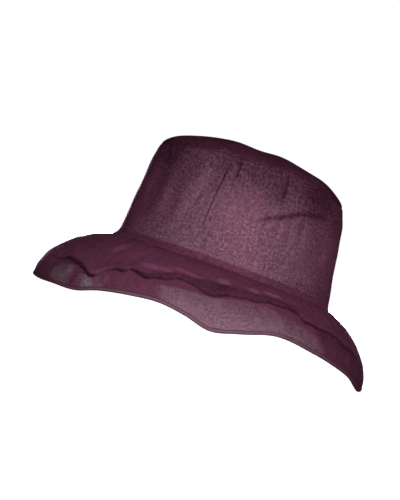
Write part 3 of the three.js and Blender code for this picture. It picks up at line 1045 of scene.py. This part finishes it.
def crown_tip():
    angle = stations(TIP_COLUMNS, TIP_FINER)[None, :]
    inward_share = np.linspace(0, 1, TIP_RINGS + 1)[:-1] ** TIP_CROWDING
    share = (1 - inward_share)[::-1][:, None] + np.zeros_like(angle)
    points = tip_surface(angle, share)
    up = square_way_up(points)
    in_from_seam = (1 - share) * HEAD_WIDTH / 2
    inward = TIP_PUCKER * puckering(points) * np.exp(-in_from_seam / PUCKER_REACH)
    uneven = ripples(points, TIP_UNEVEN_WAVE, seed=21)
    inward = inward + TIP_UNEVEN * uneven * ease(in_from_seam / SEAM_CALM)
    inward = inward + rolled_in(in_from_seam)
    outer = points - up * inward[..., None]
    inner = outer - up * ORGANZA
    wall = level_way_out(outer[-1:]) * ORGANZA
    turned_down = outer[-1:] - (0, 0, SEAM_LAP)
    inner[-1:] = inner[-1:] - wall
    outer = np.concatenate([outer, turned_down])
    inner = np.concatenate([inner, turned_down - wall])
    in_from_seam = np.concatenate([in_from_seam, in_from_seam[-1:]])
    seam = np.exp(-(in_from_seam / SEAM_HALF_WIDTH) ** 2)
    # Painted shade darkens the whole tip, and its seam a little more
    marks = [look["all over"] + look["seam"] * seam for look in (TIP_THICKER, TIP_DARKER)]
    return tip_piece(outer, inner, marks)


def tip_piece(outer, inner, marks):
    """The tip's two faces, from a small ring in the middle out to the seam, and their middles."""
    rows, columns = outer.shape[:2]
    middles = np.stack([outer[0].mean(axis=0), inner[0].mean(axis=0)])
    points = np.concatenate([outer.reshape(-1, 3), inner.reshape(-1, 3), middles])
    back = rows * columns
    faces = []
    for column in range(columns):
        after = (column + 1) % columns
        faces.append([2 * back, column, after])
        faces.append([2 * back + 1, back + after, back + column])
        for row in range(rows - 1):
            here = row * columns
            there = here + columns
            quad = [here + column, there + column, there + after, here + after]
            faces.append(quad)
            faces.append([back + i for i in reversed(quad)])
        rim = (rows - 1) * columns
        faces.append([rim + column, back + rim + column, back + rim + after, rim + after])
    corners = [points[i][:2] for face in faces for i in face]
    marks = [np.append(np.tile(np.ravel(mark), 2), [mark[0, 0]] * 2) for mark in marks]
    piece = piece_from("crown_tip_cloth", points, faces, tip_finish, corners, marks)
    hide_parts("crown_tip")
    return piece


# The seam's turned-in edges: inset from the seam, rings, place below the tip, and thickness
EDGES_INSET = 0.8
EDGES_RINGS = 6
EDGES_BELOW = 0.45
EDGES_THICK = 0.5
EDGES_UNEVEN = 0.12
EDGES_UNEVEN_WAVE = 7


def tip_seam_edges():
    """The turned-in edges of both cloths at the tip seam, pressed up against the tip's inside."""
    angle = stations(TRIM_COLUMNS)[None, :]
    half_tip = HEAD_WIDTH / 2 - CROWN_LEAN_WIDTH * CROWN_HEIGHT
    inset = np.linspace(TIP_ALLOWANCE, EDGES_INSET, EDGES_RINGS)
    share = (1 - inset / half_tip)[:, None] + np.zeros_like(angle)
    points = tip_surface(angle, share)
    up = square_way_up(points)
    uneven = EDGES_UNEVEN * ripples(points, EDGES_UNEVEN_WAVE, seed=31)
    outer = points - up * (CAD_CLOTH + EDGES_BELOW + uneven)[..., None]
    inner = outer - up * EDGES_THICK
    weave = strip_weave(angle, share * half_tip)
    piece = closed_cloth("tip_seam_edges", outer[::-1], inner[::-1], weave, seam_finish)
    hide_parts("tip_seam")
    return piece


# The head band: rings, thickness, and how far up and how deeply its top folds over
BAND_RINGS = 7
BAND_THICK = 0.9
BAND_FOLD_START = 0.8
BAND_FOLD = 0.35


def head_band():
    """The folded band over the head seam, inside the crown's foot."""
    angle = stations(TRIM_COLUMNS)[None, :]
    share = np.linspace(0, 1, BAND_RINGS)[:, None] + np.zeros_like(angle)
    low = head_seam_height(angle) + CAD_GAP / 2
    points = crown_outline(angle, low + share * BAND_HEIGHT)
    way = level_way_out(points)
    over = ((share - BAND_FOLD_START) / (1 - BAND_FOLD_START)).clip(0, 1)
    fold_over = BAND_FOLD * (1 - np.sqrt(np.clip(1 - over ** 2, 0, 1)))
    outer = points - way * (CAD_CLOTH + CAD_GAP + fold_over)[..., None]
    inner = points - way * (CAD_CLOTH + CAD_GAP + BAND_THICK - fold_over)[..., None]
    weave = strip_weave(angle, share * BAND_HEIGHT)
    piece = closed_cloth("head_band_cloth", outer, inner, weave, seam_finish)
    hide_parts("head_band")
    return piece


# How much thicker and darker the brim looks on the tuck's line, on its face and on a seam. The
# darker on the tuck is painted shade; the seam is a dark joint
TUCK_LINE = {"thicker": 1.6, "darker": 0.66}
TUCK_FACE = {"thicker": 0.6, "darker": 0.36}
BRIM_SEAM = {"thicker": 1.3, "darker": 0.12}

# How far out the brim reaches by its cloth, and the unevenness of its cloths
BRIM_OUTWARD = 0.75
BRIM_UNEVEN = 0.3
BRIM_UNEVEN_WAVE = 22
BRIM_CRUMPLE = 0.2
BRIM_CRUMPLE_WAVE = 11
BRIM_CALM_START = 0.12
BRIM_CALM_END = 0.1


def brim_marks(angle, share):
    """The tuck along the near side, the seams and the thin places: lift, thicker, and darker by seams,
    painted shade and painted highlights.
    """
    above = (tuck_share(angle) - share) * BRIM_CLOTH_LENGTH
    face = tuck_face(angle) * BRIM_CLOTH_LENGTH
    mark = tuck_mark(angle)
    run = np.maximum(0, above) / TUCK_RIDGE_RUN
    line = mark * np.exp(-(above / TUCK_GROOVE_WIDTH) ** 2)
    lift = mark * TUCK_RIDGE * run * np.exp(1 - run) - TUCK_GROOVE * line
    shaded = mark * ease(above / TUCK_FACE_START) * ease(face / TUCK_FACE_LEAST)
    shaded = shaded * ease((face - above) / TUCK_FACE_END + 0.5)
    thicker = TUCK_LINE["thicker"] * line + TUCK_FACE["thicker"] * shaded
    darker = TUCK_LINE["darker"] * line + TUCK_FACE["darker"] * shaded
    mm_per_degree = math.radians(1) * (HEAD_RADIUS + share * BRIM_CLOTH_LENGTH * BRIM_OUTWARD)
    for seam_angle in BRIM_SEAM_ANGLES:
        seam = np.exp(-(turned(angle, seam_angle) * mm_per_degree / BRIM_SEAM_HALF_WIDTH) ** 6)
        thicker = thicker + BRIM_SEAM["thicker"] * seam
        darker = darker + BRIM_SEAM["darker"] * seam
    # Doubled or single stretches, their colour darkened with painted shade
    for laid in LAID_OUTWARD:
        lean = laid["lean"] * (share - LEAN_SHARE)
        within = ease((angle - laid["from"] - lean) / laid["fade_in"])
        within = within * ease((laid["to"] + lean - angle) / laid["fade_out"])
        below = within * ease(-above / LAID_START)
        thicker = thicker + laid["thicker"] * below
        darker = darker + laid["darker"] * below
    # Thin places let more light through, and painted highlights lift their colour
    for place in THIN_AND_HIGHLIT_PLACES:
        across = turned(angle, place["angle"]) * mm_per_degree / place["long"]
        down = (share - place["share"]) * BRIM_CLOTH_LENGTH / place["high"]
        spot = np.exp(-(across * across + down * down) ** 4)
        thicker = thicker - place["thin"] * spot
        darker = darker - place["light"] * spot
    # Painted shade over broad places in the brim
    for place in SHADED_BRIM_PLACES:
        across = bump(turned(angle, place["angle"]), place["long"])
        darker = darker + place["dark"] * across * bump(share - place["share"], place["high"])
    return lift, thicker, darker


def brim_cloth(name, node, middle, seed, finish):
    """One cloth of the brim. middle is how far its middle lies above the brim's own middle."""
    angle = stations(BRIM_COLUMNS, BRIM_FINER)[None, :]
    share = np.linspace(0, 1, BRIM_RINGS)[:, None] + np.zeros_like(angle)
    points = brim_surface(angle, share)
    up = square_way_up(points)
    calm = ease(share / BRIM_CALM_START) * ease((1 - share) / BRIM_CALM_END)
    uneven = BRIM_UNEVEN * ripples(points, BRIM_UNEVEN_WAVE, seed)
    uneven = uneven + BRIM_CRUMPLE * ripples(points, BRIM_CRUMPLE_WAVE, seed + 1)
    lift, thicker, darker = brim_marks(angle, share)
    rise = middle + (uneven + lift) * calm
    upper = points + up * (rise + ORGANZA / 2)[..., None]
    under = points + up * (rise - ORGANZA / 2)[..., None]
    lap = level_way_out(points[:1]) * BRIM_LAP
    upper = np.concatenate([upper[:1] - lap, upper])
    under = np.concatenate([under[:1] - lap, under])
    share = np.concatenate([share[:1] - BRIM_LAP / BRIM_CLOTH_LENGTH, share])
    thicker, darker = (np.concatenate([mark[:1], mark]) for mark in (thicker, darker))
    radius = HEAD_RADIUS + share * BRIM_CLOTH_LENGTH
    radius = np.concatenate([radius, radius[:, :1]], axis=1)
    turns = np.radians(np.append(angle[0], 360))
    weave = np.stack([radius * np.cos(turns), radius * np.sin(turns)], axis=-1)
    marks = (thicker[::-1], darker[::-1])
    piece = closed_cloth(name, upper[::-1], under[::-1], weave[::-1], finish, marks)
    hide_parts(node)
    return piece


# Rings next to the brim's edge, and where the stitches lie from it
EDGE_SHARES = (0.985, 0.9925, 1.0)
STITCHES_ONWARD = 0.1
STITCHES_UP = 1.05


def brim_hem():
    """The rolled edge that binds both cloths of the brim, with its line of stitches."""
    angle = stations(HEM_COLUMNS)
    shares = np.array(EDGE_SHARES)[:, None] + np.zeros_like(angle)[None, :]
    rings = brim_surface(angle[None, :], shares)
    edge = rings[2]
    onward = rings[2] - rings[1]
    onward /= length_of(onward)
    up = square_way_up(rings)[2]
    centres = edge + onward * (HEM_GAP + HEM_HEIGHT / 2 - HEM_LAP)
    hem = ring_rod("brim_hem_roll", centres, up, onward, HEM_WIDTH / 2, HEM_HEIGHT / 2 + HEM_LAP,
                   hem_finish)
    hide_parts("brim_hem")
    line = edge + onward * STITCHES_ONWARD + up * STITCHES_UP
    stitches = stitch_row("hem_stitches", line, up, thread_plum)
    stitches.parent = hem
    return hem


crown_side()
crown_tip()
tip_seam_edges()
head_band()
brim_cloth("brim_upper_cloth", "brim_upper", BRIM_HALF_APART, 41, upper_finish)
brim_cloth("brim_under_cloth", "brim_under", -BRIM_HALF_APART, 51, under_finish)
brim_hem()


# The photo's view: level with the crown, from the near side, leaning as the hat leans there
CAMERA_DISTANCE = 2000
CAMERA_HEIGHT = 114
AIM = (-26.7, 0, 68.2)
LEAN = 19.8
LONG_SIDE_SEEN = 437.5
SENSOR = 36
NEAREST_SEEN = 0.1
FARTHEST_SEEN = 100


def make_camera():
    data = bpy.data.cameras.new("view")
    camera = bpy.data.objects.new("view", data)
    bpy.context.scene.collection.objects.link(camera)
    aim = Vector(AIM) + Vector(SHIFT)
    place = Vector((aim.x, -CAMERA_DISTANCE + SHIFT[1], CAMERA_HEIGHT))
    look = (aim - place).to_track_quat("-Z", "Y").to_matrix().to_4x4()
    roll = Matrix.Rotation(math.radians(LEAN), 4, "Z")
    camera.matrix_world = Matrix.Translation(place * MM) @ look @ roll
    data.sensor_width = SENSOR
    data.lens = SENSOR * CAMERA_DISTANCE / LONG_SIDE_SEEN
    data.clip_start = NEAREST_SEEN
    data.clip_end = FARTHEST_SEEN
    bpy.context.scene.camera = camera


# Soft lights, in metres and watts, and the white surround: how bright it looks and how much it lights
LIGHTS = [
    {"name": "key", "place": (0.15, -2.3, 0.42), "aim": (0, 0, 0.08), "size": (0.7, 0.7), "watts": 57},
    {"name": "top", "place": (0, 0.5, 2.1), "aim": (0, 0, 0.1), "size": (1.4, 1.4), "watts": 9},
    {"name": "back", "place": (-0.1, 2.0, 0.08), "aim": (0, 0, 0.07), "size": (1.2, 0.1), "watts": 30},
]
WHITE = (1, 1, 1, 1)
SURROUND_SEEN = 1.03
SURROUND_LIGHT = 0.04

# The floor, a hair below the hem
FLOOR_SIZE = 60
FLOOR_HEIGHT = -0.0002
FLOOR_GLOW = 0.97
FLOOR_SHADES = ((0.86, 0.86, 0.86, 1), (0.9, 0.9, 0.9, 1))
PAPER_SCALE = 300.0


def area_light(name, place, aim, size, watts):
    data = bpy.data.lights.new(name, "AREA")
    data.shape = "RECTANGLE"
    data.size, data.size_y = size
    data.energy = watts
    light = bpy.data.objects.new(name, data)
    light.location = place
    light.rotation_mode = "QUATERNION"
    light.rotation_quaternion = (Vector(aim) - Vector(place)).to_track_quat("-Z", "Y")
    bpy.context.scene.collection.objects.link(light)


def make_surround():
    """White behind the hat, which gives almost no light of its own."""
    world = bpy.data.worlds.new("studio")
    bpy.context.scene.world = world
    surround = Nodes(world)
    path = surround.node("ShaderNodeLightPath")
    lit, seen = (
        surround.node("ShaderNodeBackground", None, {"Color": WHITE, "Strength": strength})
        for strength in (SURROUND_LIGHT, SURROUND_SEEN)
    )
    both = {0: path.outputs["Is Camera Ray"], 1: lit.outputs[0], 2: seen.outputs[0]}
    mix = surround.node("ShaderNodeMixShader", None, both)
    surround.node("ShaderNodeOutputWorld", None, {"Surface": mix.outputs[0]})


def make_floor():
    """Pale paper that glows evenly and throws no light on the hat."""
    bpy.ops.mesh.primitive_plane_add(size=FLOOR_SIZE, location=(0, 0, FLOOR_HEIGHT))
    floor = bpy.context.object
    floor.name = "floor"
    pale = Finish("pale_floor")
    paper = pale.noise(pale.node("ShaderNodeTexCoord").outputs["Object"], PAPER_SCALE)
    floor.data.materials.append(pale.surface({
        "Base Color": pale.mix(paper, *FLOOR_SHADES),
        "Roughness": 0.9,
        "Specular IOR Level": 0.1,
        "Emission Color": WHITE,
        "Emission Strength": FLOOR_GLOW,
    }))
    floor.visible_diffuse = False
    floor.visible_glossy = False


# Through how many layers of cloth the light is followed
CLOTH_LAYERS_SEEN = 64

make_camera()
make_surround()
for light in LIGHTS:
    area_light(**light)
make_floor()
bpy.context.scene.view_settings.view_transform = "Standard"
bpy.context.scene.cycles.transparent_max_bounces = CLOTH_LAYERS_SEEN

bpy.context.view_layer.update()
